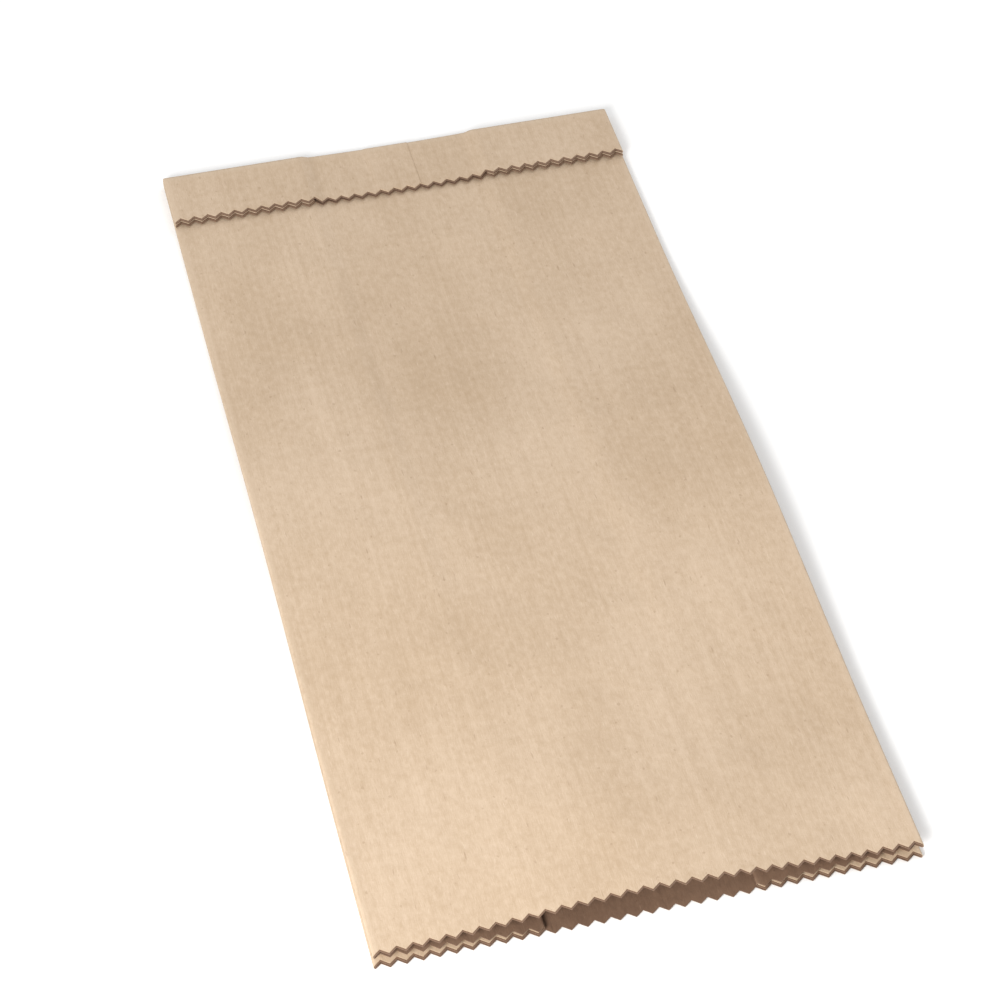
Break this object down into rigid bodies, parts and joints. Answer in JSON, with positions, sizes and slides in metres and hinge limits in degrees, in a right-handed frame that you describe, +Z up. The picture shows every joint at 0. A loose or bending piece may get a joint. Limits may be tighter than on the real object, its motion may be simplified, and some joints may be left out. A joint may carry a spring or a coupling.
{
  "type": "lined paper bag",
  "caption": "Flat folded takeaway bag of brown kraft paper with a dark paper lining, side gussets, toothed cut edges and a bottom folded over onto the back.",
  "frame": {"origin": "centre of the bounding box at the height of the surface that the bag lies on", "axes": "+Y along the bag from its mouth to its bottom fold, +X across its width, +Z up from the panel it lies on"},
  "size_m": [0.13, 0.28, 0.0091],
  "materials": {
    "kraft_paper": "matte",
    "lining_paper": "matte"
  },
  "bodies": {
    "root": {"outer_bag": "kraft_paper", "inner_lining": "lining_paper"}
  },
  "joints": []
}
